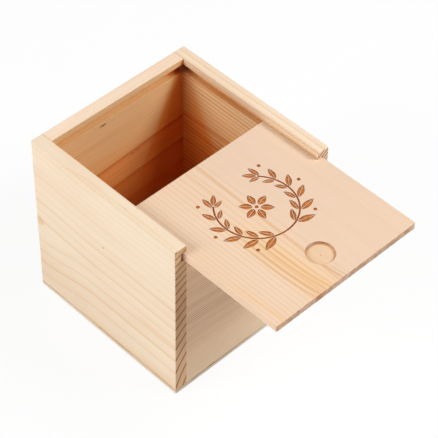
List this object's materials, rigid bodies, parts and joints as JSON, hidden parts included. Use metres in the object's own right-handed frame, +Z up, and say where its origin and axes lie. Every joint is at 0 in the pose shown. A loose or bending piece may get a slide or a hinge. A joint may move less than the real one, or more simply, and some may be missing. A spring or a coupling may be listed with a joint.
{
  "type": "sliding lid wooden box",
  "caption": "Small cube-shaped box of bare softwood boards, with a thin lid that slides out forwards in a groove round the walls and has a shallow round finger recess near its front edge.",
  "frame": {"origin": "centre of the underside of the base panel, which is the face that the box stands on", "axes": "+Z up, +X to the right across the box as seen from its front, -Y forwards: the lid slides out towards -Y"},
  "size_m": [0.12, 0.1906, 0.1215],
  "materials": {
    "wall_pine": "sanded, unvarnished",
    "lid_pine": "sanded, unvarnished",
    "base_wood": "sanded, unvarnished",
    "pin_steel": "bright wire"
  },
  "bodies": {
    "box": {"left_wall": "wall_pine", "right_wall": "wall_pine", "back_wall": "wall_pine", "front_wall": "wall_pine", "base_panel": "base_wood", "base_pins": "pin_steel"},
    "lid": {"lid": "lid_pine"}
  },
  "joints": [
    {"name": "lid_slide", "type": "slide", "parent": "box", "child": "lid", "axis": [0, -1, 0], "range_m": [-0.0706, 0.046]}
  ]
}
